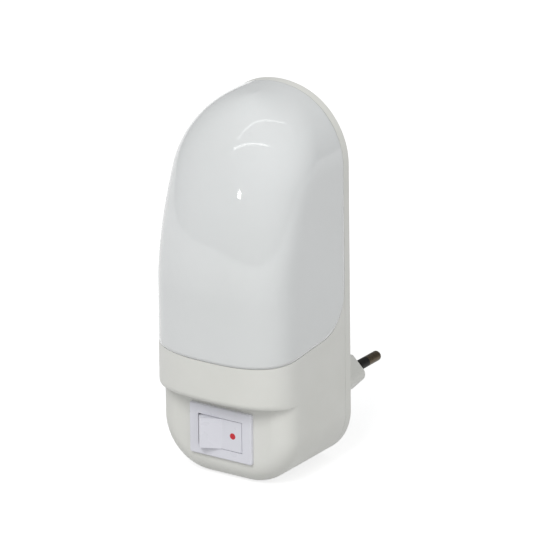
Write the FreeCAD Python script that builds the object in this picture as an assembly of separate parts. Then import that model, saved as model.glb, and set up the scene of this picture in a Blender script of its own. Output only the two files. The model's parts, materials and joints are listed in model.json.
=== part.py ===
import FreeCAD, Part
import math
import os

# Plug-in night light: an ivory moulded base with an arched back plate, a milky hood that slides down
# into the base, a rocker switch on the front face, a small screw lamp inside and a two-pin plug behind.
# Millimetres. While the pieces are drawn, X is to the right seen from the front, Y points to the wall
# with the back of the plate at y = 0, and Z is up with the underside at z = 0. The finished pieces are
# moved so that the origin is the middle of the plug's end face.

V = FreeCAD.Vector

# casing outline, seen from the front
half_width = 29.4
height = 146.6
shoulder_step = 1.4
crown_step = 4.4
shoulder_radius = half_width - shoulder_step
crown_radius = half_width + crown_step
foot_radius = 20.5

# casing depth, seen from the side and from above
plate_thickness = 3.4
hood_depth = 52.4
side_share_low = 0.66
side_share_top = 0.52
front_exponent = 2.6
bend_start = 82.5
dome_lead = 12.0
section_gap = 2.0
bend_radius = 63.0
front_slope = math.radians(29.5)
roll_radius = 8.0

# base
ledge_depth = 10.0
face_depth = hood_depth - ledge_depth
face_edge_radius = 8.0
ledge_height = 33.8
ledge_edge_radius = 2.6
housing_wall = 2.0
collar_wall = 1.5
parting_front = 50.4
parting_back = 53.6
parting_sweep_radius = 15.8
seam_gap = 0.2

# hood
hood_wall = 2.2
skirt_wall = 1.6
skirt_bottom = 45.5
skirt_gap = 0.3
lip_depth = 1.4
lip_reach = 1.6
lip_top = 112.0

# rails on the back plate that hold the hood's lips
rail_bottom = 76.0
rail_height = 34.0
rail_web = 1.3
rail_toe = 1.3
rail_clearance = 0.35

# plug
plug_height = 21.9
plug_depth = 30.0
plug_width = 35.3
plug_thick = 13.7
plug_flange_margin = 2.2
plug_flange_thickness = 2.0
plug_clearance = 0.15
pin_radius = 2.0
pin_neck_radius = 1.5
pin_length = 19.0
pin_spread = 9.2
pin_inner_length = 4.0
crimp_length = 3.0
crimp_wall = 0.7
tab_length = 4.0
tab_half_width = 2.0
tab_thickness = 0.8
sleeve_length = 10.6
sleeve_root = 4.0
sleeve_root_step = 0.2
sleeve_stand_off = 0.3
sleeve_mouth_depth = 0.5
sleeve_mouth_gap = 0.1
pin_fit = 0.02

# screws
screw_radius = 1.45
screw_head_radius = 2.9
screw_head_height = 1.8
screw_fit = 0.05
boss_radius = 3.3
boss_spread = 22.6
boss_height = 39.6
boss_bore_depth = 14.0

# switch
switch_height = 19.2
bezel_width = 27.8
bezel_tall = 20.2
bezel_thickness = 1.5
case_width = 24.4
case_tall = 16.6
case_depth = 18.0
case_wall = 1.6
case_fit = 0.1
rocker_length = 19.8
rocker_tall = 12.4
rocker_clearance = 0.25
rocker_end_clearance = 0.5
rocker_lip = 0.6
rocker_swing = 24.0
pivot_depth = 4.0
trunnion_radius = 1.3
trunnion_length = 1.2
trunnion_clearance = 0.05
rocker_skirt = 3.2
leg_radius = 2.1
leg_length = 5.4
plunger_radius = 1.2
plunger_length = 4.0
plunger_fit = 0.05
plunger_reach = 0.8
spring_wire = 0.3
spring_seat = 1.0
dot_radius = 1.25
dot_depth = 0.6
dot_place = 5.6
blade_length = 13.0
blade_width = 4.0
blade_thickness = 0.5
blade_tilt = 8.0
blade_gap = 0.35
blade_rise = 0.9
terminal_width = 4.0
terminal_thickness = 0.8
terminal_length = 4.0
terminal_spread = 8.2

# lampholder and lamp, on one upright axis
lamp_axis = 26.5
shelf_top = 33.4
shelf_thickness = 2.2
shelf_half_width = 13.0
holder_radius = 12.4
holder_height = 23.5
holder_floor = 3.6
holder_screw_spread = 9.6
shell_radius = 7.05
shell_wall = 0.4
shell_gap = 0.05
lamp_cap_radius = 6.75
lamp_cap_wall = 0.3
lamp_cap_height = 15.0
lamp_tip_height = 2.4
lamp_tip_radius = 2.4
lamp_glass_radius = 11.0
lamp_glass_wall = 0.6
lamp_neck_radius = 6.3
lamp_length = 48.0
lamp_seat_depth = 9.0
stem_gap = 0.6
stem_flare_height = 4.0
stem_radius = 2.0
stem_length = 7.0
lead_radius = 0.35
lead_length = 9.0
lead_spread = 1.2
filament_half_span = 4.1
filament_rise = 1.6
filament_radius = 0.25
contact_thickness = 0.5
contact_gap = 0.3

# wires
wire_radius = 0.9
wire_bite = 2.6
wire_end_gap = 0.1
wire_run = 3.4
wire_lane = 4.2
wire_climb = 14.0
wire_climb_step = 4.5
wire_drop = 6.0

WALL_SIDE = V(0, 1, 0)
UP = V(0, 0, 1)
RIGHT = V(1, 0, 0)


def tube(radius, bore, start, direction, length):
    outer = Part.makeCylinder(radius, length, start, direction)
    return outer.cut(Part.makeCylinder(bore, length, start, direction))


def block(x0, x1, y0, y1, z0, z1):
    return Part.makeBox(x1 - x0, y1 - y0, z1 - z0, V(x0, y0, z0))


def face_of(edges):
    return Part.Face(Part.Wire(Part.__sortEdges__(edges)))


def polygon(points):
    return Part.Face(Part.makePolygon(points + points[:1]))


class Outline:
    """The casing's size rules, with every surface moved in by an inset."""

    def __init__(self, inset=0.0):
        self.half = half_width - inset
        self.top = height - inset
        self.shoulder = shoulder_radius - inset
        self.crown = crown_radius - inset
        self.foot = foot_radius - inset
        self.bottom = inset
        self.depth = hood_depth - inset
        self.bend = bend_radius - inset
        self.roll = max(roll_radius - inset, 1.0)
        self.crown_z = self.top - self.crown
        rise = (self.crown - self.shoulder) ** 2 - (self.half - self.shoulder) ** 2
        self.shoulder_z = self.crown_z + math.sqrt(rise)

    def joint_z(self):
        """Height where the shoulder arc turns into the crown arc."""
        share = (self.shoulder_z - self.crown_z) / (self.crown - self.shoulder)
        return self.crown_z + self.crown * share

    def half_at(self, z):
        if z <= self.shoulder_z:
            return self.half
        if z < self.joint_z():
            return self.half - self.shoulder + math.sqrt(self.shoulder ** 2 - (z - self.shoulder_z) ** 2)
        return math.sqrt(max(self.crown ** 2 - (z - self.crown_z) ** 2, 0.0))

    def depth_at(self, z):
        """Front profile: upright, one long bend, a straight slope and a round roll to the crown."""
        slope_z = bend_start + self.bend * math.sin(front_slope)
        slope_depth = self.depth - self.bend * (1 - math.cos(front_slope))
        roll_z = self.top - self.roll
        roll_start = roll_z + self.roll * math.sin(front_slope)
        roll_depth = slope_depth - (roll_start - slope_z) * math.tan(front_slope)
        if z <= bend_start:
            return self.depth
        if z < slope_z:
            return self.depth - self.bend + math.sqrt(self.bend ** 2 - (z - bend_start) ** 2)
        if z < roll_start:
            return slope_depth - (z - slope_z) * math.tan(front_slope)
        centre = roll_depth - self.roll * math.cos(front_slope)
        return centre + math.sqrt(max(self.roll ** 2 - (z - roll_z) ** 2, 0.0))

    def side_at(self, z):
        """How far the side stays straight before the front curve starts."""
        share = min(max((z - bend_start) / (height - bend_start), 0.0), 1.0)
        whole = Outline().depth_at(min(z, height - 0.5)) if z > bend_start else hood_depth
        return whole * (side_share_low + (side_share_top - side_share_low) * share)

    def section(self, z, back, trim=0.0):
        """Closed plan section at one height: a straight back, two sides and a rounded front."""
        half = self.half_at(z)
        side = self.side_at(z)
        reach = self.depth_at(z) - side - trim
        steps = 16
        points = []
        for i in range(steps + 1):
            angle = math.pi * i / steps
            c, s = math.cos(angle), math.sin(angle)
            x = half * math.copysign(abs(c) ** (2 / front_exponent), c)
            points.append(V(x, -side - reach * abs(s) ** (2 / front_exponent), z))
        points[0] = V(half, -side, z)
        points[-1] = V(-half, -side, z)
        front = Part.BSplineCurve()
        front.interpolate(Points=points, InitialTangent=V(0, -1, 0), FinalTangent=V(0, 1, 0))
        corner_left = V(-half, back, z)
        corner_right = V(half, back, z)
        return Part.Wire([
            front.toShape(),
            Part.LineSegment(points[-1], corner_left).toShape(),
            Part.LineSegment(corner_left, corner_right).toShape(),
            Part.LineSegment(corner_right, points[0]).toShape(),
        ])

    def prism(self, low, high, back):
        return Part.Face(self.section(low, back)).extrude(V(0, 0, high - low))

    def round_bottom(self, low, radius, back):
        """Underside edge of the bulge: round at the front, fading out along the sides."""
        steps = 5
        sections = []
        for i in range(steps + 1):
            angle = math.pi / 2 * i / steps
            trim = radius * (1 - math.sin(angle))
            sections.append(self.section(low + radius * (1 - math.cos(angle)), back, trim))
        return Part.makeLoft(sections, True, False)

    def dome(self, low, back):
        """The hood's outer form from a low height to the crown."""
        bend_rise = self.bend * math.sin(front_slope)
        straight_top = bend_start - dome_lead
        heights = [straight_top, bend_start - dome_lead / 2, bend_start]
        heights += [bend_start + bend_rise * i / 4 for i in range(1, 5)]
        heights = [z for z in heights if z < self.shoulder_z - section_gap]
        last_angle = math.radians(87)
        steps = 9
        span = self.top - self.shoulder_z
        heights += [self.shoulder_z + span * math.sin(last_angle * i / steps) for i in range(steps + 1)]
        upper = Part.makeLoft([self.section(z, back) for z in heights], True, False)
        return self.prism(low, straight_top, back).fuse(upper).removeSplitter()

    def front_face(self, low, y):
        """Front-view outline: round foot corners, straight sides and the arched crown."""
        half, foot = self.half, self.foot
        base = self.bottom if low is None else low
        join = self.joint_z()
        join_x = self.half_at(join)
        mid_angle = math.pi / 4
        shoulder_mid = 0.5 * math.atan2(join - self.shoulder_z, join_x - (half - self.shoulder))
        mid_x = half - self.shoulder + self.shoulder * math.cos(shoulder_mid)
        mid_z = self.shoulder_z + self.shoulder * math.sin(shoulder_mid)
        edges = []
        for side in (1, -1):
            foot_x = half - foot
            edges.append(Part.Arc(
                V(side * foot_x, y, base),
                V(side * (foot_x + foot * math.sin(mid_angle)), y, base + foot * (1 - math.cos(mid_angle))),
                V(side * half, y, base + foot)).toShape())
            edges.append(Part.LineSegment(
                V(side * half, y, base + foot), V(side * half, y, self.shoulder_z)).toShape())
            edges.append(Part.Arc(
                V(side * half, y, self.shoulder_z), V(side * mid_x, y, mid_z), V(side * join_x, y, join)).toShape())
        edges.append(Part.Arc(V(join_x, y, join), V(0, y, self.top), V(-join_x, y, join)).toShape())
        edges.append(Part.LineSegment(V(-(half - foot), y, base), V(half - foot, y, base)).toShape())
        return face_of(edges)

    def lower_body(self, depth, high, edge):
        """The part of the base behind the switch face, with its front edge rounded."""
        body = self.front_face(None, 0).extrude(V(0, -depth, 0))
        body = body.cut(block(-half_width * 2, half_width * 2, -depth - 1, 1, high, height + 1))
        rim = [e for e in body.Edges
               if abs(e.BoundBox.YMin + depth) < 1e-4 and abs(e.BoundBox.YMax + depth) < 1e-4
               and e.BoundBox.ZMin < high - 1]
        return body.makeFillet(edge, rim)


def above_parting(gap):
    """Everything over the line where the hood meets the base, moved up by a gap."""
    back = plate_thickness + seam_gap + gap
    radius = parting_sweep_radius
    far = hood_depth * 2
    centre_y = -back - radius
    centre_z = parting_back + gap + radius
    diagonal = radius * math.sqrt(0.5)
    start = V(0, -hood_depth, parting_front + gap)
    low = V(0, centre_y, centre_z - radius)
    lead = V(0, -far, start.z - (low.z - start.z) * (far - hood_depth) / (hood_depth + centre_y))
    end = V(0, -back, centre_z)
    edges = [
        Part.LineSegment(lead, low).toShape(),
        Part.Arc(low, V(0, centre_y + diagonal, centre_z - diagonal), end).toShape(),
        Part.LineSegment(end, V(0, -back, height * 2)).toShape(),
        Part.LineSegment(V(0, -back, height * 2), V(0, -far, height * 2)).toShape(),
        Part.LineSegment(V(0, -far, height * 2), lead).toShape(),
    ]
    profile = face_of(edges)
    profile.translate(V(-half_width * 2, 0, 0))
    return profile.extrude(V(half_width * 4, 0, 0))


def housing_boss(side, radius, start, length):
    return Part.makeCylinder(radius, length, V(side * boss_spread, -start, boss_height), V(0, -1, 0))


def make_front_housing():
    outer = Outline()
    inner = Outline(housing_wall)
    collar = Outline(collar_wall)
    top = parting_back + seam_gap + parting_sweep_radius
    back = -plate_thickness - seam_gap / 2
    bulge = outer.prism(ledge_height + ledge_edge_radius, top, back)
    bulge = bulge.fuse(outer.round_bottom(ledge_height, ledge_edge_radius, back))
    lower = outer.lower_body(face_depth, ledge_height + 8, face_edge_radius)
    lower = lower.cut(block(-half_width * 2, half_width * 2, back, 1, -1, height))
    body = bulge.fuse(lower)
    shelf_z = skirt_bottom - skirt_gap
    room = inner.lower_body(face_depth - housing_wall, ledge_height + 6, face_edge_radius - housing_wall)
    room = room.fuse(inner.prism(ledge_height + housing_wall, shelf_z, 1))
    room = room.fuse(collar.prism(shelf_z, top + 1, 1))
    shell = body.cut(room)
    for side in (1, -1):
        boss = housing_boss(side, boss_radius, plate_thickness + seam_gap, hood_depth)
        boss = boss.common(body)
        boss = boss.cut(housing_boss(side, screw_radius + screw_fit, 0, plate_thickness + boss_bore_depth))
        shell = shell.fuse(boss)
    shell = shell.cut(above_parting(0))
    z = switch_height
    wide, tall = case_width / 2 + case_fit, case_tall / 2 + case_fit
    return shell.cut(block(-wide, wide, -face_depth - 2, -face_depth + housing_wall + 1, z - tall, z + tall))


def rail_front():
    """How far the rails' toes stand forward of the back of the plate."""
    return plate_thickness + seam_gap + lip_depth + rail_clearance + rail_toe


def make_diffuser():
    back = -plate_thickness - seam_gap
    hood = Outline().dome(parting_front - 6, back)
    hood = hood.common(above_parting(seam_gap))
    hood = hood.cut(Outline(hood_wall).dome(parting_front - 8, 1))
    low = skirt_bottom
    high = parting_back + seam_gap + parting_sweep_radius
    ring_back = -rail_front() - rail_clearance
    ring = Outline(collar_wall + skirt_gap).prism(low, high, ring_back)
    ring = ring.cut(Outline(collar_wall + skirt_gap + skirt_wall).prism(low, high, 1))
    ring = ring.cut(above_parting(seam_gap + skirt_wall))
    hood = hood.fuse(ring)
    wall_x = half_width - hood_wall
    lip_bottom = parting_back + parting_sweep_radius + 1
    for side in (1, -1):
        x0, x1 = sorted((side * (wall_x - lip_reach), side * (wall_x + 0.4)))
        hood = hood.fuse(block(x0, x1, back - lip_depth, back, lip_bottom, lip_top))
    return hood.removeSplitter()


def hexagon(width, thick, y):
    """Plug section with its two side points cut at 45 degrees."""
    half, tall = width / 2, thick / 2
    points = [(half - tall, tall), (half, 0), (half - tall, -tall)]
    points += [(-x, z) for x, z in reversed(points)]
    return polygon([V(x, y, plug_height + z) for x, z in points])


def plug_edges(body):
    return [e for e in body.Edges if e.BoundBox.YLength > plug_depth / 2
            and abs(e.BoundBox.ZMin - plug_height) < 0.1]


def make_back_plate():
    outer = Outline()
    plate = outer.front_face(None, 0).extrude(V(0, -plate_thickness, 0))
    opening = hexagon(plug_width + 2 * plug_clearance, plug_thick + 2 * plug_clearance, 1)
    plate = plate.cut(opening.extrude(V(0, -plate_thickness - 2, 0)))
    web_x = half_width - hood_wall - lip_reach - rail_clearance
    toe_back = rail_front() - rail_toe
    for side in (1, -1):
        x0, x1 = sorted((side * (web_x - rail_web), side * web_x))
        rail = block(x0, x1, -rail_front(), -plate_thickness, rail_bottom, rail_bottom + rail_height)
        toe_x = half_width - hood_wall - rail_clearance
        x0, x1 = sorted((side * (web_x - rail_web), side * toe_x))
        toe = block(x0, x1, -rail_front(), -toe_back, rail_bottom, rail_bottom + rail_height)
        plate = plate.fuse(rail).fuse(toe)
        hole = housing_boss(side, screw_radius + screw_fit * 4, -1, plate_thickness + 2)
        sink = housing_boss(side, screw_head_radius + screw_fit * 4, -1, 1 + screw_head_height)
        plate = plate.cut(hole).cut(sink)
    reach = lamp_axis + holder_screw_spread
    w = shelf_half_width
    shelf = block(-w, w, -reach, -plate_thickness, shelf_top - shelf_thickness, shelf_top)
    gusset = polygon([
        V(0, -plate_thickness, shelf_top), V(0, -plate_thickness, shelf_top + 9),
        V(0, -plate_thickness - 8, shelf_top)])
    gusset = gusset.extrude(V(1.6, 0, 0))
    for x in (-w, w - 1.6):
        piece = gusset.copy()
        piece.translate(V(x, 0, 0))
        shelf = shelf.fuse(piece)
    for x in (-holder_screw_spread, holder_screw_spread):
        start = V(x, -lamp_axis, shelf_top - shelf_thickness - 1)
        shelf = shelf.cut(Part.makeCylinder(screw_radius + screw_fit, shelf_thickness + 2, start, UP))
    front = [e for e in shelf.Edges if e.BoundBox.ZLength > 1 and e.BoundBox.YMax < -reach + 0.1]
    return plate.fuse(shelf.makeFillet(4.0, front)).removeSplitter()


def pin_start(side, y):
    return V(side * pin_spread, y, plug_height)


def pin_inner_end():
    return -plate_thickness - plug_flange_thickness - pin_inner_length


def make_pin(side):
    neck_end = plug_depth + sleeve_length
    tip = plug_depth + pin_length
    inner = pin_inner_end()
    neck = Part.makeCylinder(pin_neck_radius, neck_end - inner, pin_start(side, inner), WALL_SIDE)
    head = Part.makeCylinder(pin_radius, tip - neck_end, pin_start(side, neck_end), WALL_SIDE)
    end = [e for e in head.Edges if abs(e.BoundBox.YMin - tip) < 1e-4]
    head = head.makeFillet(pin_radius * 0.6, end)
    return neck.fuse(head)


def make_sleeve(side):
    bore = pin_neck_radius + pin_fit
    root_start = pin_start(side, plug_depth - sleeve_root)
    root = tube(pin_radius - sleeve_root_step, bore, root_start, WALL_SIDE, sleeve_root + sleeve_stand_off)
    free_length = sleeve_length - sleeve_stand_off - pin_fit
    free = tube(pin_radius, bore, pin_start(side, plug_depth + sleeve_stand_off), WALL_SIDE, free_length)
    return root.fuse(free)


def make_plug_insert():
    inner = -plate_thickness - plug_flange_thickness
    body = hexagon(plug_width, plug_thick, inner).extrude(V(0, plug_depth - inner, 0))
    body = body.makeFillet(3.0, plug_edges(body))
    flange = hexagon(plug_width + 2 * plug_flange_margin, plug_thick + 2 * plug_flange_margin, inner)
    body = body.fuse(flange.extrude(V(0, plug_flange_thickness - seam_gap / 2, 0)))
    end = [e for e in body.Edges if abs(e.BoundBox.YMin - plug_depth) < 1e-3]
    body = body.makeFillet(0.8, end)
    for side in (1, -1):
        start = pin_start(side, inner - 1)
        bore = Part.makeCylinder(pin_neck_radius + pin_fit, plug_depth * 2, start, WALL_SIDE)
        root = Part.makeCylinder(pin_radius - sleeve_root_step + pin_fit, sleeve_root + 1,
                                 pin_start(side, plug_depth - sleeve_root), WALL_SIDE)
        mouth = Part.makeCylinder(pin_radius + sleeve_mouth_gap, sleeve_mouth_depth + 1,
                                  pin_start(side, plug_depth - sleeve_mouth_depth), WALL_SIDE)
        body = body.cut(bore.fuse(root).fuse(mouth))
    return body


def make_pin_terminals():
    """Crimped tabs pushed over the pins' inner ends."""
    inner = pin_inner_end()
    bore = pin_neck_radius + pin_fit
    half_tab = tab_thickness / 2
    pieces = []
    for side in (1, -1):
        ring = tube(pin_neck_radius + crimp_wall, bore, pin_start(side, inner), WALL_SIDE, crimp_length)
        x = side * pin_spread
        tab = block(x - tab_half_width, x + tab_half_width, inner - tab_length, inner - pin_fit,
                    plug_height - half_tab, plug_height + half_tab)
        half_bridge = tab_half_width / 2
        bridge = block(x - half_bridge, x + half_bridge, inner - tab_thickness, inner + half_tab,
                       plug_height - pin_neck_radius - crimp_wall, plug_height + half_tab)
        crimp = ring.fuse(tab.fuse(bridge))
        pin_room = Part.makeCylinder(bore, crimp_length * 2, pin_start(side, inner - pin_fit), WALL_SIDE)
        pieces.append(crimp.cut(pin_room))
    return Part.makeCompound(pieces)


def screw(start, direction, length):
    """Pan head screw with a cross recess left plain; the head's underside is at the start."""
    shank = Part.makeCylinder(screw_radius, length, start, direction)
    head_start = start - direction * screw_head_height
    head = Part.makeCylinder(screw_head_radius, screw_head_height, head_start, direction)
    top = [e for e in head.Edges if (e.BoundBox.Center - start).dot(direction) < -screw_head_height * 0.9
           and e.Length > screw_head_radius]
    return head.makeFillet(0.7, top[:1]).fuse(shank)


def make_housing_screws():
    seat = -screw_head_height
    length = plate_thickness + boss_bore_depth - screw_head_height - 2
    return Part.makeCompound([
        screw(V(side * boss_spread, seat, boss_height), V(0, -1, 0), length) for side in (1, -1)])


def make_holder_screws():
    z = shelf_top - shelf_thickness
    length = shelf_thickness + holder_floor + 3
    return Part.makeCompound([
        screw(V(x, -lamp_axis, z), UP, length) for x in (-holder_screw_spread, holder_screw_spread)])


def lamp_point(z):
    return V(0, -lamp_axis, z)


def holder_top():
    return shelf_top + holder_height


def make_lampholder_body():
    body = Part.makeCylinder(holder_radius, holder_height, lamp_point(shelf_top), UP)
    rim = [e for e in body.Edges if abs(e.BoundBox.ZMin - holder_top()) < 1e-4 and e.Length > holder_radius]
    body = body.makeFillet(1.2, rim)
    bore = shell_radius + shell_wall + shell_gap
    body = body.cut(Part.makeCylinder(bore, holder_height, lamp_point(shelf_top + holder_floor), UP))
    for x in (-holder_screw_spread, holder_screw_spread):
        body = body.cut(Part.makeCylinder(
            screw_radius + screw_fit, holder_floor + 5, V(x, -lamp_axis, shelf_top - 1), UP))
    for side in (1, -1):
        start = V(side * (holder_radius + 1), -lamp_axis, wire_port_height())
        body = body.cut(Part.makeCylinder(wire_radius + 0.1, wire_bite + 1.2, start, V(-side, 0, 0)))
    for i in range(12):
        rib = block(holder_radius - 0.5, holder_radius + 1, -0.7, 0.7, 12, holder_height - 2)
        rib.rotate(V(0, 0, 0), UP, 15 + 30 * i)
        rib.translate(lamp_point(shelf_top))
        body = body.cut(rib)
    return body


def wire_port_height():
    return shelf_top + holder_floor + 5.0


def make_holder_shell():
    """Threaded shell of the holder, drawn as a plain tube with its rolled rim."""
    low = shelf_top + holder_floor + 3
    high = holder_top() - 0.6
    shell = tube(shell_radius + shell_wall, shell_radius, lamp_point(low), UP, high - low)
    return shell


def tip_height():
    return shelf_top + holder_floor + contact_thickness + 1.2 + contact_gap


def make_holder_contact():
    """Sprung tongue on the holder's floor, bent up under the lamp's tip."""
    z = shelf_top + holder_floor
    lift = 1.2
    t = contact_thickness
    points = [(-5.5, 0), (-2.5, 0), (-1.2, lift), (1.6, lift)]
    points += [(1.6, lift + t), (-1.6, lift + t), (-2.9, t), (-5.5, t)]
    profile = polygon([V(x, -lamp_axis - 2, z + h) for x, h in points])
    return profile.extrude(V(0, 4, 0))


def make_lamp_contact():
    z = tip_height()
    dome = Part.makeCylinder(lamp_tip_radius, 0.9, lamp_point(z), UP)
    low = [e for e in dome.Edges if abs(e.BoundBox.ZMax - z) < 1e-4]
    return dome.makeFillet(0.7, low)


def make_lamp_insulator():
    z = tip_height() + 0.9
    rise = lamp_tip_height - 0.9
    return Part.makeCone(lamp_tip_radius + 0.6, lamp_cap_radius - lamp_cap_wall, rise, lamp_point(z), UP)


def cap_bottom():
    return tip_height() + lamp_tip_height


def make_lamp_cap():
    bore = lamp_cap_radius - lamp_cap_wall
    return tube(lamp_cap_radius, bore, lamp_point(cap_bottom()), UP, lamp_cap_height)


def glass_profile(inset, seat):
    """Half profile of the pear-shaped bulb, moved in by an inset; open at the neck."""
    neck = lamp_neck_radius - inset
    big = lamp_glass_radius - inset
    top = tip_height() + lamp_length
    centre = top - lamp_glass_radius
    flare = cap_bottom() + lamp_cap_height + 1.0
    y = -lamp_axis
    a, b = V(0, y, seat), V(neck, y, seat)
    c = V(neck, y, flare)
    d = V(big, y, centre)
    curve = Part.BSplineCurve()
    middle = V((neck + big) / 2 + 0.2, y, (flare + centre) / 2 - 0.6)
    curve.interpolate(Points=[c, middle, d], InitialTangent=V(0, 0, 1), FinalTangent=V(0, 0, 1))
    half = big * math.sqrt(0.5)
    crown = Part.Arc(d, V(half, y, centre + half), V(0, y, centre + big))
    return face_of([
        Part.LineSegment(a, b).toShape(), Part.LineSegment(b, c).toShape(), curve.toShape(),
        crown.toShape(), Part.LineSegment(V(0, y, centre + big), a).toShape()])


def make_lamp_glass():
    seat = cap_bottom() + lamp_cap_height - lamp_seat_depth
    outer = glass_profile(0.0, seat).revolve(lamp_point(0), UP, 360)
    inner = glass_profile(lamp_glass_wall, seat - 1).revolve(lamp_point(0), UP, 360)
    return outer.cut(inner)


def make_lamp_stem():
    """Flared glass stem with its two lead wires."""
    base = stem_base()
    flare = Part.makeCone(lamp_neck_radius - lamp_glass_wall - shell_gap, stem_radius, stem_flare_height,
                          lamp_point(base), UP)
    rod = Part.makeCylinder(stem_radius, stem_length, lamp_point(base + stem_flare_height), UP)
    stem = flare.fuse(rod)
    for side in (1, -1):
        start = V(side * lead_spread, -lamp_axis, base + stem_flare_height + stem_length - lead_spread)
        end = V(side * filament_half_span, -lamp_axis, start.z + lead_length)
        stem = stem.fuse(Part.makeCylinder(lead_radius, (end - start).Length, start, end - start))
    return stem


def stem_base():
    return cap_bottom() + lamp_cap_height - lamp_seat_depth + stem_gap


def make_lamp_filament():
    """Coiled filament drawn as one thin arc between the leads."""
    top = stem_base() + stem_flare_height + stem_length - lead_spread + lead_length + filament_radius
    path = Part.Arc(V(-filament_half_span, -lamp_axis, top), V(0, -lamp_axis, top + filament_rise),
                    V(filament_half_span, -lamp_axis, top))
    edge = path.toShape()
    start = edge.valueAt(edge.FirstParameter)
    tangent = edge.tangentAt(edge.FirstParameter)
    circle = Part.Wire(Part.makeCircle(filament_radius, start, tangent))
    return Part.Wire([edge]).makePipeShell([circle], True, True)


def bezel_y():
    return -face_depth - bezel_thickness


def pivot_y():
    return bezel_y() + pivot_depth


def make_switch_body():
    z = switch_height
    w, t = bezel_width / 2, bezel_tall / 2
    bezel = block(-w, w, bezel_y(), -face_depth - 0.05, z - t, z + t)
    front = [e for e in bezel.Edges if e.BoundBox.YMax < bezel_y() + 0.01]
    corners = [e for e in bezel.Edges if e.BoundBox.YLength > 1]
    bezel = bezel.makeFillet(0.8, corners)
    front = [e for e in bezel.Edges if e.BoundBox.YMax < bezel_y() + 0.01]
    bezel = bezel.makeFillet(0.5, front)
    cw, ct = case_width / 2, case_tall / 2
    case_back = bezel_y() + case_depth
    case = block(-cw, cw, -face_depth - 0.06, case_back, z - ct, z + ct)
    body = bezel.fuse(case)
    rw, rt = rocker_length / 2, rocker_tall / 2
    mouth = block(-rw, rw, bezel_y() - 1, case_back - case_wall, z - rt, z + rt)
    deep = rocker_corner()[0] + rocker_clearance
    room = block(-deep, deep, bezel_y() + rocker_lip, case_back - case_wall, z - rt, z + rt)
    body = body.cut(mouth.fuse(room))
    hole = Part.makeCylinder(trunnion_radius + trunnion_clearance, rocker_tall + 2 * trunnion_length + 0.4,
                             V(0, pivot_y(), z - rocker_tall / 2 - trunnion_length - 0.2), UP)
    body = body.cut(hole)
    for x in (-terminal_spread, 0, terminal_spread):
        half = terminal_width / 2 + 0.05
        thick = terminal_thickness / 2 + 0.05
        slot_front = case_back - case_wall - 1
        body = body.cut(block(x - thick, x + thick, slot_front, case_back + 1, z - half, z + half))
    for side in (1, -1):
        x0, x1 = sorted((side * cw, side * (cw + 0.9)))
        hook_y = -face_depth + housing_wall + 0.25
        hook = polygon([V(side * cw, hook_y, z - 3), V(side * (cw + 0.9), hook_y, z - 3),
                        V(side * cw, hook_y + 4, z - 3)])
        body = body.fuse(hook.extrude(V(0, 0, 6)))
    return body.removeSplitter()


def rocker_corner():
    """Place of the pressed end's edge: its distance from the pivot and its angle from the axis."""
    x = rocker_length / 2 - rocker_end_clearance
    return math.hypot(x, pivot_depth), math.atan2(x, pivot_depth)


def rocker_turned(shape):
    """From the level position to the one in the photo, with the right end pressed in."""
    turned = shape.copy()
    turned.rotate(V(0, pivot_y(), switch_height), UP, rocker_swing / 2)
    return turned


def make_switch_rocker():
    reach, pressed = rocker_corner()
    tilt = math.radians(rocker_swing / 2)
    end_x = reach * math.sin(pressed - tilt)
    end_y = pivot_y() - reach * math.cos(pressed - tilt)
    apex_y = end_y + end_x * math.tan(tilt)
    tall = rocker_tall - 2 * rocker_clearance
    z = switch_height - tall / 2
    skirt_angle = pressed - tilt + math.asin(rocker_skirt / reach)
    middle = (pressed - tilt + skirt_angle) / 2

    def on_arc(side, angle):
        return V(side * reach * math.sin(angle), pivot_y() - reach * math.cos(angle), z)

    edges = []
    for side in (1, -1):
        end = V(side * end_x, end_y, z)
        edges.append(Part.LineSegment(V(0, apex_y, z), end).toShape())
        edges.append(Part.Arc(end, on_arc(side, middle), on_arc(side, skirt_angle)).toShape())
    low = on_arc(1, skirt_angle)
    floor_y = pivot_y() + trunnion_radius + 0.6
    inner_x = leg_radius + 1.0
    edges.append(Part.LineSegment(low, V(inner_x, floor_y, z)).toShape())
    edges.append(Part.LineSegment(V(inner_x, floor_y, z), V(-inner_x, floor_y, z)).toShape())
    edges.append(Part.LineSegment(V(-inner_x, floor_y, z), V(-low.x, low.y, z)).toShape())
    body = face_of(edges).extrude(V(0, 0, tall))
    ends = [e for e in body.Edges if abs(abs(e.BoundBox.Center.x) - end_x) < 0.05 and e.BoundBox.ZLength > 5]
    body = body.makeFillet(0.5, ends)
    stub_length = tall + 2 * (rocker_clearance + trunnion_length)
    stub = Part.makeCylinder(trunnion_radius, stub_length,
                             V(0, pivot_y(), switch_height - stub_length / 2), UP)
    leg = Part.makeCylinder(leg_radius, leg_length, V(0, pivot_y(), switch_height), WALL_SIDE)
    body = body.fuse(stub).fuse(leg)
    bore_depth = leg_length + 1.0
    bore = Part.makeCylinder(plunger_radius + plunger_fit, bore_depth + 1,
                             V(0, pivot_y() + leg_length - bore_depth, switch_height), WALL_SIDE)
    body = body.cut(bore)
    body = rocker_turned(body)
    return body.cut(dot_solid())


def dot_solid():
    """Pressed half of the rocker lies level with the bezel, so its dot is a short upright disc."""
    return Part.makeCylinder(dot_radius, dot_depth, V(dot_place, bezel_y(), switch_height), WALL_SIDE)


def make_rocker_dot():
    return dot_solid().common(make_dot_limit())


def make_dot_limit():
    return block(-half_width, half_width, bezel_y(), 0, 0, height)


def make_switch_plunger():
    tip_y = plunger_tip_y()
    body = Part.makeCylinder(plunger_radius, plunger_length - plunger_radius,
                             V(0, tip_y - plunger_length, switch_height), WALL_SIDE)
    ball = Part.makeSphere(plunger_radius, V(0, tip_y - plunger_radius, switch_height))
    return rocker_turned(body.fuse(ball))


def plunger_tip_y():
    return pivot_y() + leg_length + plunger_reach


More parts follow.
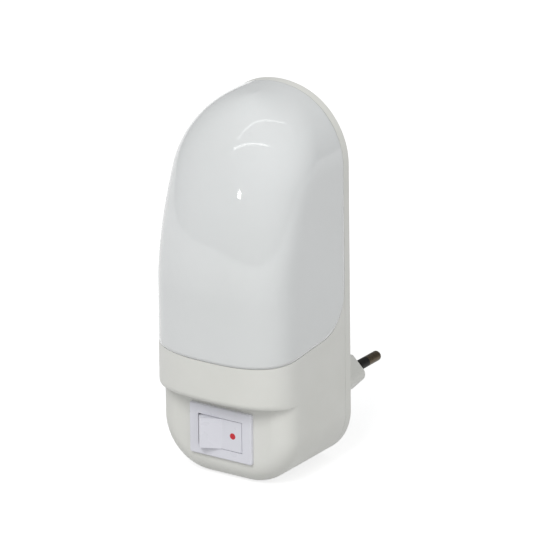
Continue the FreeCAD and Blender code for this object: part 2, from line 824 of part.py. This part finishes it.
def make_switch_spring():
    """Coil spring between the bottom of the leg's bore and the plunger, drawn as a thin sleeve."""
    start = pivot_y() - spring_seat
    room = plunger_tip_y() - plunger_length - start
    coil = tube(plunger_radius, plunger_radius - spring_wire, V(0, start, switch_height), WALL_SIDE, room)
    return rocker_turned(coil)


def blade_y():
    """Middle of the blade's wall side, behind the plunger's tip."""
    return plunger_tip_y() + blade_gap + blade_rise


def make_switch_contact():
    half = blade_length / 2
    z = switch_height
    t = blade_thickness
    y = blade_y()
    blade = block(-half, half, y, y + t, z - blade_width / 2, z + blade_width / 2)
    for side in (1, -1):
        point = Part.makeCylinder(1.1, 0.5, V(side * (half - 1.2), y + t, z), WALL_SIDE)
        blade = blade.fuse(point)
    blade.rotate(V(0, y + t, z), UP, -blade_tilt)
    return blade


def make_switch_terminals():
    """Two outer tabs with fixed contacts and the middle tab whose notch carries the blade."""
    z = switch_height
    case_back = bezel_y() + case_depth
    half, thick = terminal_width / 2, terminal_thickness / 2
    tab_end = case_back + terminal_length
    pieces = []
    swing = math.sin(math.radians(blade_tilt)) * blade_length / 2
    rest = blade_y() + blade_thickness
    for x in (-terminal_spread, 0, terminal_spread):
        front = rest + (0.15 if x == 0 else swing + 1.0)
        tab = block(x - thick, x + thick, front, tab_end, z - half, z + half)
        if x:
            tab = tab.fuse(block(min(x, x * 0.55), max(x, x * 0.55), front, front + 0.6, z - half, z + half))
        pieces.append(tab)
    return Part.makeCompound(pieces)


def wire_along(points):
    """Insulated wire through the points, its bends as large as the runs allow."""
    edges = []
    here = points[0]
    for before, corner, after in zip(points, points[1:], points[2:]):
        come, leave = corner - before, after - corner
        shorter = min(come.Length, leave.Length)
        come_dir = come * (1 / come.Length)
        leave_dir = leave * (1 / leave.Length)
        half_turn = come_dir.getAngle(leave_dir) / 2
        setback = 0.45 * shorter
        radius = setback / math.tan(half_turn)
        start, end = corner - come_dir * setback, corner + leave_dir * setback
        towards = (leave_dir - come_dir).normalize()
        centre = corner + towards * math.hypot(radius, setback)
        middle = centre - towards * radius
        edges.append(Part.LineSegment(here, start).toShape())
        edges.append(Part.Arc(start, middle, end).toShape())
        here = end
    edges.append(Part.LineSegment(here, points[-1]).toShape())
    path = Part.Wire(edges)
    direction = (points[1] - points[0]).normalize()
    circle = Part.Wire(Part.makeCircle(wire_radius, points[0], direction))
    return path.makePipeShell([circle], True, True)


def pin_tab_end(side):
    return V(side * pin_spread, pin_inner_end() - tab_length - wire_end_gap, plug_height)


def terminal_end(x):
    return V(x, bezel_y() + case_depth + terminal_length + wire_end_gap, switch_height)


def make_wire_live_pin():
    start, end = pin_tab_end(1), terminal_end(terminal_spread)
    run = V(0, wire_run, 0)
    return wire_along([start, start - run, end + run, end])


def holder_port(side):
    """Where a wire ends inside the lampholder's side port, and the point straight out from it."""
    x = holder_radius + 1 - wire_bite
    out = shelf_half_width + wire_lane
    z = wire_port_height()
    return V(side * x, -lamp_axis, z), V(side * out, -lamp_axis, z)


def make_wire_switched():
    port, outside = holder_port(1)
    start = terminal_end(0)
    side_x = outside.x
    turn = V(side_x / 3, start.y + 2 * wire_run, plug_height + wire_run)
    low = V(side_x - wire_radius * 2, -wire_climb, shelf_top - wire_drop)
    high = V(side_x, -wire_climb - wire_climb_step, shelf_top + wire_radius)
    return wire_along([start, start + V(0, wire_run, 0), turn, low, high, outside, port])


def make_wire_neutral():
    port, outside = holder_port(-1)
    start = pin_tab_end(-1)
    side_x = outside.x
    low = V(side_x + wire_radius * 3, -wire_climb - wire_radius * 2, shelf_top - wire_drop)
    high = V(side_x, -wire_climb - wire_climb_step, shelf_top + wire_radius)
    return wire_along([start, start - V(0, wire_run, 0), low, high, outside, port])


parts = {
    "back_plate": make_back_plate,
    "front_housing": make_front_housing,
    "diffuser": make_diffuser,
    "plug_insert": make_plug_insert,
    "plug_pin_right": lambda: make_pin(1),
    "plug_pin_left": lambda: make_pin(-1),
    "pin_sleeve_right": lambda: make_sleeve(1),
    "pin_sleeve_left": lambda: make_sleeve(-1),
    "pin_terminals": make_pin_terminals,
    "housing_screws": make_housing_screws,
    "holder_screws": make_holder_screws,
    "lampholder_body": make_lampholder_body,
    "holder_shell": make_holder_shell,
    "holder_contact": make_holder_contact,
    "lamp_contact": make_lamp_contact,
    "lamp_insulator": make_lamp_insulator,
    "lamp_cap": make_lamp_cap,
    "lamp_glass": make_lamp_glass,
    "lamp_stem": make_lamp_stem,
    "lamp_filament": make_lamp_filament,
    "switch_body": make_switch_body,
    "switch_rocker": make_switch_rocker,
    "rocker_dot": make_rocker_dot,
    "switch_plunger": make_switch_plunger,
    "switch_spring": make_switch_spring,
    "switch_contact": make_switch_contact,
    "switch_terminals": make_switch_terminals,
    "wire_live_pin": make_wire_live_pin,
    "wire_switched": make_wire_switched,
    "wire_neutral": make_wire_neutral,
}

os.makedirs("parts", exist_ok=True)
for name, make in parts.items():
    shape = make()
    shape.translate(V(0, -plug_depth, -plug_height))
    shape.exportStep(os.path.join("parts", name + ".step"))
    print(name, len(shape.Solids), round(shape.Volume, 2), shape.isValid())
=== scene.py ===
import json
import math

import bmesh
import bpy
from mathutils import Matrix, Vector


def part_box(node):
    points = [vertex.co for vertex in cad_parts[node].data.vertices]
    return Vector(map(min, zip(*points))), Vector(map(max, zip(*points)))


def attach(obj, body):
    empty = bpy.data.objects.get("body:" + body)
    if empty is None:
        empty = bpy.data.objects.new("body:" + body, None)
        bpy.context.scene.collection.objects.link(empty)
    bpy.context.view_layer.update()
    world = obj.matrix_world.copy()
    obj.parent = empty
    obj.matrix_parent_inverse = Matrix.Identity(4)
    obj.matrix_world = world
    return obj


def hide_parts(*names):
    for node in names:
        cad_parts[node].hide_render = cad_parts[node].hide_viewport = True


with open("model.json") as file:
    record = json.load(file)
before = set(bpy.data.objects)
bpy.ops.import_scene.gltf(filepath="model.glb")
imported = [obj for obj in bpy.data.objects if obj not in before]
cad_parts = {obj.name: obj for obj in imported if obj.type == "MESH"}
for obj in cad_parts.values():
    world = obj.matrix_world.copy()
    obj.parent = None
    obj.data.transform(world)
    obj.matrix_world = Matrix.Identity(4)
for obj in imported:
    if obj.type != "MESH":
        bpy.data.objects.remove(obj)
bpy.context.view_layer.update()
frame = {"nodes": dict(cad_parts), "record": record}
nodes = frame["nodes"]
MM = 0.001

# where the drawing's zero lies in the frame: the back of the plate and the underside
BACK_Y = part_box("back_plate")[1].y
FLOOR_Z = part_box("back_plate")[0].z


def place(x, y, z):
    """A point given in millimetres from the plate's back and the underside."""
    return Vector((x * MM, BACK_Y + y * MM, FLOOR_Z + z * MM))


def srgb(r, g, b):
    """A colour as seen on screen, 0 to 255, in the linear values that shaders take."""
    def linear(c):
        c /= 255
        return c / 12.92 if c <= 0.04045 else ((c + 0.055) / 1.055) ** 2.4
    return (linear(r), linear(g), linear(b), 1.0)


# materials

class Shader:
    """A small helper that adds nodes and links to one material."""

    def __init__(self, name):
        self.material = bpy.data.materials.new(name)
        self.material.use_nodes = True
        self.tree = self.material.node_tree
        self.bsdf = self.tree.nodes["Principled BSDF"]
        self.coords = self.tree.nodes.new("ShaderNodeTexCoord").outputs["Object"]

    def node(self, kind, **values):
        made = self.tree.nodes.new(kind)
        for key, value in values.items():
            setattr(made, key, value)
        return made

    def link(self, source, target):
        self.tree.links.new(source, target)

    def noise(self, scale, detail=3.0, roughness=0.5, stretch=(1, 1, 1)):
        mapping = self.node("ShaderNodeMapping")
        mapping.inputs["Scale"].default_value = stretch
        self.link(self.coords, mapping.inputs["Vector"])
        made = self.node("ShaderNodeTexNoise")
        made.inputs["Scale"].default_value = scale
        made.inputs["Detail"].default_value = detail
        made.inputs["Roughness"].default_value = roughness
        self.link(mapping.outputs["Vector"], made.inputs["Vector"])
        return made.outputs["Fac"]

    def between(self, factor, low, high):
        made = self.node("ShaderNodeMapRange")
        made.inputs["From Min"].default_value = 0.3
        made.inputs["From Max"].default_value = 0.7
        made.inputs["To Min"].default_value = low
        made.inputs["To Max"].default_value = high
        self.link(factor, made.inputs["Value"])
        return made.outputs["Result"]

    def colours(self, factor, first, second):
        made = self.node("ShaderNodeMix", data_type="RGBA")
        self.link(factor, made.inputs["Factor"])
        made.inputs["A"].default_value = first
        made.inputs["B"].default_value = second
        self.link(made.outputs["Result"], self.bsdf.inputs["Base Color"])

    def bump(self, height, distance, strength=0.3):
        made = self.node("ShaderNodeBump")
        made.inputs["Distance"].default_value = distance
        made.inputs["Strength"].default_value = strength
        self.link(height, made.inputs["Height"])
        self.link(made.outputs["Normal"], self.bsdf.inputs["Normal"])

    def set(self, **values):
        for key, value in values.items():
            self.bsdf.inputs[key.replace("_", " ")].default_value = value


def plastic(name, light, dark, rough, grain=0.00002, spread=0.05, specular=0.5):
    """Moulded plastic: faint cloudiness in the colour, uneven gloss and a fine skin."""
    s = Shader(name)
    s.colours(s.between(s.noise(45, 4), 0, 1), light, dark)
    s.link(s.between(s.noise(120, 3), rough - spread, rough + spread), s.bsdf.inputs["Roughness"])
    s.bump(s.noise(2600, 2), grain)
    s.bsdf.inputs["Specular IOR Level"].default_value = specular
    return s.material


def metal(name, light, dark, rough, stretch=(1, 1, 1)):
    """Drawn or plated metal with light wear along the working direction."""
    s = Shader(name)
    s.colours(s.between(s.noise(350, 5, 0.6, stretch), 0, 1), light, dark)
    s.link(s.between(s.noise(700, 4, 0.6, stretch), rough * 0.7, rough * 1.3), s.bsdf.inputs["Roughness"])
    s.bump(s.noise(1500, 3, 0.6, stretch), 0.00001)
    s.set(Metallic=1.0)
    return s.material


def milky(name):
    """The hood's milky plastic: glossy skin over a slightly translucent body."""
    s = Shader(name)
    s.colours(s.between(s.noise(14, 2), 0, 1), srgb(227, 229, 229), srgb(221, 223, 222))
    s.link(s.between(s.noise(60, 2), 0.04, 0.07), s.bsdf.inputs["Roughness"])
    s.bump(s.noise(30, 2), 0.00012, 0.12)
    s.set(Coat_Weight=0.4, Coat_Roughness=0.03, Subsurface_Weight=0.25, Subsurface_Scale=0.004)
    s.bsdf.inputs["Subsurface Radius"].default_value = (1.0, 1.0, 1.0)
    return s.material


def clear_glass(name, rough=0.02):
    s = Shader(name)
    s.colours(s.between(s.noise(80, 2), 0, 1), (0.98, 0.99, 0.99, 1), (0.95, 0.97, 0.97, 1))
    s.link(s.between(s.noise(200, 2), rough, rough * 2), s.bsdf.inputs["Roughness"])
    s.set(Transmission_Weight=1.0)
    return s.material


IVORY_LIGHT, IVORY_DARK = srgb(231, 231, 226), srgb(226, 226, 220)
materials = {
    "ivory_plastic": plastic("ivory_plastic", IVORY_LIGHT, IVORY_DARK, 0.42, specular=0.4),
    "plug_plastic": plastic("plug_plastic", srgb(234, 234, 229), srgb(229, 229, 223), 0.4),
    "diffuser_plastic": milky("diffuser_plastic"),
    "switch_plastic": plastic("switch_plastic", srgb(230, 230, 237), srgb(226, 226, 233), 0.3, 0.00001),
    "red_mark": plastic("red_mark", srgb(208, 18, 40), srgb(196, 14, 34), 0.25, 0.00001),
    "black_sleeve": plastic("black_sleeve", srgb(24, 24, 22), srgb(18, 18, 17), 0.5, 0.00004, specular=0.2),
    "pin_metal": metal("pin_metal", srgb(98, 88, 72), srgb(70, 61, 48), 0.34, (1, 6, 6)),
    "contact_brass": metal("contact_brass", srgb(205, 170, 100), srgb(180, 145, 82), 0.3),
    "screw_steel": metal("screw_steel", srgb(196, 198, 200), srgb(170, 172, 175), 0.32),
    "spring_steel": metal("spring_steel", srgb(176, 178, 180), srgb(150, 152, 155), 0.3),
    "holder_plastic": plastic("holder_plastic", srgb(232, 228, 216), srgb(226, 221, 208), 0.5),
    "cap_metal": metal("cap_metal", srgb(205, 205, 206), srgb(184, 184, 186), 0.3),
    "bulb_glass": clear_glass("bulb_glass"),
    "stem_glass": clear_glass("stem_glass", 0.04),
    "insulator_glass": plastic("insulator_glass", srgb(30, 28, 34), srgb(20, 18, 24), 0.15, 0.00001),
    "solder": metal("solder", srgb(170, 172, 176), srgb(140, 142, 146), 0.4),
    "filament_metal": metal("filament_metal", srgb(120, 120, 122), srgb(100, 100, 102), 0.4),
    "wire_brown": plastic("wire_brown", srgb(112, 66, 40), srgb(98, 56, 34), 0.4),
    "wire_blue": plastic("wire_blue", srgb(40, 84, 168), srgb(32, 72, 150), 0.4),
}

for row in frame["record"]["subparts"]:
    mesh = nodes[row["node"]].data
    mesh.materials.clear()
    mesh.materials.append(materials[row["material_slot"]])


# the hood, a finer and rounder form of its solid

# sizes in millimetres, measured from the plate's back and the underside
HOOD_HALF = 29.4
HOOD_DEPTH = 52.4
HOOD_TOP = 146.6
HOOD_BACK = 3.6
HOOD_WALL = 2.2
SHOULDER_RADIUS = 28.0
CROWN_RADIUS = 33.8
BEND_START = 82.5
CURVE_START = 76.0
PARTING_FRONT, PARTING_BACK = 50.6, 53.8
PARTING_RADIUS = 15.8
SKIRT_BOTTOM = 45.5
SKIRT_INSET = 1.8
SKIRT_WALL = 1.6
TOP_DEPTH = 16.0
LIP_DEPTH = 1.4
LIP_REACH = 1.6
LIP_TOP = 112.0
LIP_OVERLAP = 0.3
LIP_EDGE = 0.3
RAIL_SPACE = 9.0

# the front profile and the plan sections, as powers and shares
PROFILE_START, PROFILE_END = 1.55, 0.47
SIDE_SHARE, SIDE_LOSS = 0.66, 0.36
FRONT_EXPONENT, EXPONENT_LOSS = 2.6, 0.55
SIDE_PART = 0.22
MERGE_DISTANCE = 0.00002


def rise(z):
    """Share of the way from where the front starts to curve up to the crown."""
    return min(max((z - CURVE_START) / (HOOD_TOP - CURVE_START), 0.0), 1.0)


def hood_half(z):
    """Half the hood's width: upright sides, a round shoulder each side and the crown's arc."""
    crown_z = HOOD_TOP - CROWN_RADIUS
    shoulder_x = HOOD_HALF - SHOULDER_RADIUS
    shoulder_z = crown_z + math.sqrt((CROWN_RADIUS - SHOULDER_RADIUS) ** 2 - shoulder_x ** 2)
    join_z = crown_z + CROWN_RADIUS * (shoulder_z - crown_z) / (CROWN_RADIUS - SHOULDER_RADIUS)
    if z <= shoulder_z:
        return HOOD_HALF
    if z < join_z:
        return shoulder_x + math.sqrt(SHOULDER_RADIUS ** 2 - (z - shoulder_z) ** 2)
    return math.sqrt(max(CROWN_RADIUS ** 2 - (z - crown_z) ** 2, 0.0))


def hood_depth(z):
    """Front profile: upright at first, then one long curve over to the crown."""
    return TOP_DEPTH + (HOOD_DEPTH - TOP_DEPTH) * (1 - rise(z) ** PROFILE_START) ** PROFILE_END


def hood_point(across, z, inset=0.0):
    """A point on the hood: across runs from the right rear edge, 0, over the front to the left one, 1."""
    half, depth = hood_half(z) - inset, hood_depth(z) - inset
    half = max(half, 0.0)
    side = depth * (SIDE_SHARE - SIDE_LOSS * rise(z) ** 2)
    if across < SIDE_PART or across > 1 - SIDE_PART:
        along = min(across, 1 - across) / SIDE_PART
        return (half if across < 0.5 else -half), -(HOOD_BACK + (side - HOOD_BACK) * along)
    angle = math.pi * (across - SIDE_PART) / (1 - 2 * SIDE_PART)
    power = 2 / (FRONT_EXPONENT - EXPONENT_LOSS * rise(z) ** 2)
    cos, sin = math.cos(angle), max(math.sin(angle), 0.0)
    x = half * math.copysign(abs(cos) ** power, cos)
    return x, -side - (depth - side) * sin ** power


def parting_height(y):
    """Height of the line where the hood meets the base, which sweeps up at the rear."""
    sweep_start = HOOD_BACK + PARTING_RADIUS
    if -y >= sweep_start:
        share = (-y - sweep_start) / (HOOD_DEPTH - sweep_start)
        return PARTING_BACK + (PARTING_FRONT - PARTING_BACK) * share
    drop = math.sqrt(max(PARTING_RADIUS ** 2 - (-y - sweep_start) ** 2, 0.0))
    return PARTING_BACK + PARTING_RADIUS - drop


def hood_piece(name, mesh):
    """Puts a mesh of the hood's plastic in the scene as a piece."""
    mesh.materials.append(materials["diffuser_plastic"])
    piece = bpy.data.objects.new(name, mesh)
    bpy.context.scene.collection.objects.link(piece)
    return piece


def grid_piece(name, columns, rows, point, wall):
    """A curved sheet from a grid of points, given its wall thickness inwards."""
    vertices = [place(*point(i / columns, j / rows))
                for j in range(rows + 1) for i in range(columns + 1)]
    width = columns + 1
    faces = [(j * width + i, (j + 1) * width + i, (j + 1) * width + i + 1, j * width + i + 1)
             for j in range(rows) for i in range(columns)]
    mesh = bpy.data.meshes.new(name)
    mesh.from_pydata(vertices, [], faces)
    made = bmesh.new()
    made.from_mesh(mesh)
    bmesh.ops.remove_doubles(made, verts=made.verts, dist=MERGE_DISTANCE)
    bmesh.ops.recalc_face_normals(made, faces=made.faces)
    made.to_mesh(mesh)
    made.free()
    mesh.polygons.foreach_set("use_smooth", [True] * len(mesh.polygons))
    piece = hood_piece(name, mesh)
    solid = piece.modifiers.new("wall", "SOLIDIFY")
    solid.thickness = wall * MM
    solid.offset = -1
    return piece


def hood_surface(across, up):
    """The shell's outside, from the line where it meets the base up to the crown."""
    x, y = hood_point(across, BEND_START)
    low = parting_height(y)
    z = low + (HOOD_TOP - low) * math.sin(up * math.pi / 2)
    x, y = hood_point(across, z)
    return x, y, z


def skirt_surface(across, up):
    """The hood's skirt, which stands inside the base's collar and stops short of the rails."""
    x, y = hood_point(across, BEND_START, SKIRT_INSET)
    y = min(y, -RAIL_SPACE)
    return x, y, SKIRT_BOTTOM + (parting_height(y) + SKIRT_WALL - SKIRT_BOTTOM) * up


def lip_piece(name, side):
    """A strip inside the hood's rear edge that hooks into the plate's rail, with softened edges."""
    wall = HOOD_HALF - HOOD_WALL
    inner, outer = wall - LIP_REACH, wall + LIP_OVERLAP
    low, high = PARTING_BACK + PARTING_RADIUS + 1, LIP_TOP
    made = bmesh.new()
    bmesh.ops.create_cube(made, size=1)
    centre = place(side * (inner + outer) / 2, -HOOD_BACK - LIP_DEPTH / 2, (low + high) / 2)
    size = Vector((outer - inner, LIP_DEPTH, high - low)) * MM
    for vertex in made.verts:
        vertex.co = centre + vertex.co * size
    bmesh.ops.bevel(made, geom=made.edges[:], offset=LIP_EDGE * MM, segments=3, affect="EDGES")
    mesh = bpy.data.meshes.new(name)
    made.to_mesh(mesh)
    made.free()
    return hood_piece(name, mesh)


def make_hood():
    lips = [lip_piece("hood_lip_right", 1), lip_piece("hood_lip_left", -1)]
    shell = grid_piece("hood_shell", 160, 150, hood_surface, HOOD_WALL)
    skirt = grid_piece("hood_skirt", 120, 6, skirt_surface, SKIRT_WALL)
    for piece in [shell, skirt] + lips:
        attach(piece, "hood")
    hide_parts("diffuser")


make_hood()


# stage, light and camera

def camera_ray_mix(tree, seen, unseen):
    """Uses one closure where the camera, a mirror or glass looks, and the other for all else."""
    path = tree.nodes.new("ShaderNodeLightPath")
    first = tree.nodes.new("ShaderNodeMath")
    first.operation = "MAXIMUM"
    tree.links.new(path.outputs["Is Camera Ray"], first.inputs[0])
    tree.links.new(path.outputs["Is Glossy Ray"], first.inputs[1])
    second = tree.nodes.new("ShaderNodeMath")
    second.operation = "MAXIMUM"
    tree.links.new(first.outputs[0], second.inputs[0])
    tree.links.new(path.outputs["Is Transmission Ray"], second.inputs[1])
    mix = tree.nodes.new("ShaderNodeMixShader")
    tree.links.new(second.outputs[0], mix.inputs["Fac"])
    tree.links.new(unseen, mix.inputs[1])
    tree.links.new(seen, mix.inputs[2])
    return mix.outputs[0]


def make_world(ambient):
    world = bpy.data.worlds.new("studio")
    bpy.context.scene.world = world
    world.use_nodes = True
    tree = world.node_tree
    tree.nodes.clear()
    seen = tree.nodes.new("ShaderNodeBackground")
    seen.inputs["Color"].default_value = (1, 1, 1, 1)
    unseen = tree.nodes.new("ShaderNodeBackground")
    unseen.inputs["Color"].default_value = (0.98, 0.99, 1.0, 1)
    unseen.inputs["Strength"].default_value = ambient
    path = tree.nodes.new("ShaderNodeLightPath")
    mix = tree.nodes.new("ShaderNodeMixShader")
    tree.links.new(path.outputs["Is Camera Ray"], mix.inputs["Fac"])
    tree.links.new(unseen.outputs[0], mix.inputs[1])
    tree.links.new(seen.outputs[0], mix.inputs[2])
    out = tree.nodes.new("ShaderNodeOutputWorld")
    tree.links.new(mix.outputs[0], out.inputs["Surface"])


def make_floor(glow):
    floor_drop = 0.2 * MM
    bpy.ops.mesh.primitive_grid_add(x_subdivisions=4, y_subdivisions=4, size=6,
                                    location=(0, 0, FLOOR_Z - floor_drop))
    floor = bpy.context.object
    floor.name = "floor"
    made = bpy.data.materials.new("floor")
    made.use_nodes = True
    tree = made.node_tree
    tree.nodes.clear()
    diffuse = tree.nodes.new("ShaderNodeBsdfDiffuse")
    diffuse.inputs["Color"].default_value = (0.5, 0.5, 0.5, 1)
    emission = tree.nodes.new("ShaderNodeEmission")
    emission.inputs["Strength"].default_value = glow
    both = tree.nodes.new("ShaderNodeAddShader")
    tree.links.new(diffuse.outputs[0], both.inputs[0])
    tree.links.new(emission.outputs[0], both.inputs[1])
    out = tree.nodes.new("ShaderNodeOutputMaterial")
    tree.links.new(camera_ray_mix(tree, both.outputs[0], diffuse.outputs[0]), out.inputs["Surface"])
    floor.data.materials.append(made)


# the middle of the hood's upper front, which every lamp is placed from
LAMP_TARGET = place(0, -60, 112)


def area_light(name, location, size, power, tall=None):
    data = bpy.data.lights.new(name, "AREA")
    data.shape = "RECTANGLE"
    data.size = size
    data.size_y = tall or size
    data.energy = power
    light = bpy.data.objects.new(name, data)
    bpy.context.scene.collection.objects.link(light)
    light.location = location
    light.rotation_euler = (LAMP_TARGET - location).to_track_quat("-Z", "Y").to_euler()
    return light


def make_camera():
    """A long lens from the right, above and in front, placed from the fitted view of the photo."""
    azimuth, elevation, roll = math.radians(34.23), math.radians(20.9), math.radians(-0.65)
    distance = 3.571
    pixels_per_m = 2680.0
    frame_pixels = 540.0
    pivot_pixel = (254.57, 286.99)
    pivot = place(0, -20, 70)
    towards = Vector((math.sin(azimuth) * math.cos(elevation), -math.cos(azimuth) * math.cos(elevation),
                      math.sin(elevation)))
    level = Vector((math.cos(azimuth), math.sin(azimuth), 0))
    raised = towards.cross(level)
    right = level * math.cos(roll) + raised * math.sin(roll)
    up = raised * math.cos(roll) - level * math.sin(roll)
    aside = (frame_pixels / 2 - pivot_pixel[0]) / pixels_per_m
    above = (pivot_pixel[1] - frame_pixels / 2) / pixels_per_m
    data = bpy.data.cameras.new("camera")
    camera = bpy.data.objects.new("camera", data)
    bpy.context.scene.collection.objects.link(camera)
    turn = Matrix((right, up, towards)).transposed()
    position = pivot + towards * distance + right * aside + up * above
    camera.matrix_world = Matrix.Translation(position) @ turn.to_4x4()
    data.sensor_width = 36.0
    data.lens = data.sensor_width * distance * pixels_per_m / frame_pixels
    data.clip_start, data.clip_end = 0.1, 20.0
    bpy.context.scene.camera = camera


def strip_light(name, first, second, width, power):
    """A thin lamp between two points, each given from the middle of the hood."""
    first, second = LAMP_TARGET + Vector(first), LAMP_TARGET + Vector(second)
    light = area_light(name, (first + second) / 2, (second - first).length, power, width)
    towards = (light.location - LAMP_TARGET).normalized()
    along = (second - first).normalized()
    across = towards.cross(along).normalized()
    light.rotation_euler = Matrix((along, across, along.cross(across))).transposed().to_euler()


def make_lights():
    """Broad light from above and in front, and the small lamps whose reflections show on the hood."""
    soft = [
        area_light("key", LAMP_TARGET + Vector((0.3, -1.6, 1.6)), 0.9, 22),
        area_light("fill", LAMP_TARGET + Vector((1.7, -0.6, 0.3)), 1.2, 6),
    ]
    for light in soft:
        light.visible_glossy = False
    strip_light("tube_low", (-0.71, -1.08, 0.86), (0.35, -0.75, 1.25), 0.035, 0.5)
    strip_light("tube_high", (-0.7, -1.05, 1.1), (0.45, 0.35, 1.35), 0.04, 0.6)
    area_light("spot", LAMP_TARGET + Vector((-0.378, -1.31, 0.42)), 0.07, 0.5, 0.07)


make_world(ambient=0.5)
make_floor(glow=0.75)
make_lights()
make_camera()

bpy.context.scene.view_settings.view_transform = "Standard"
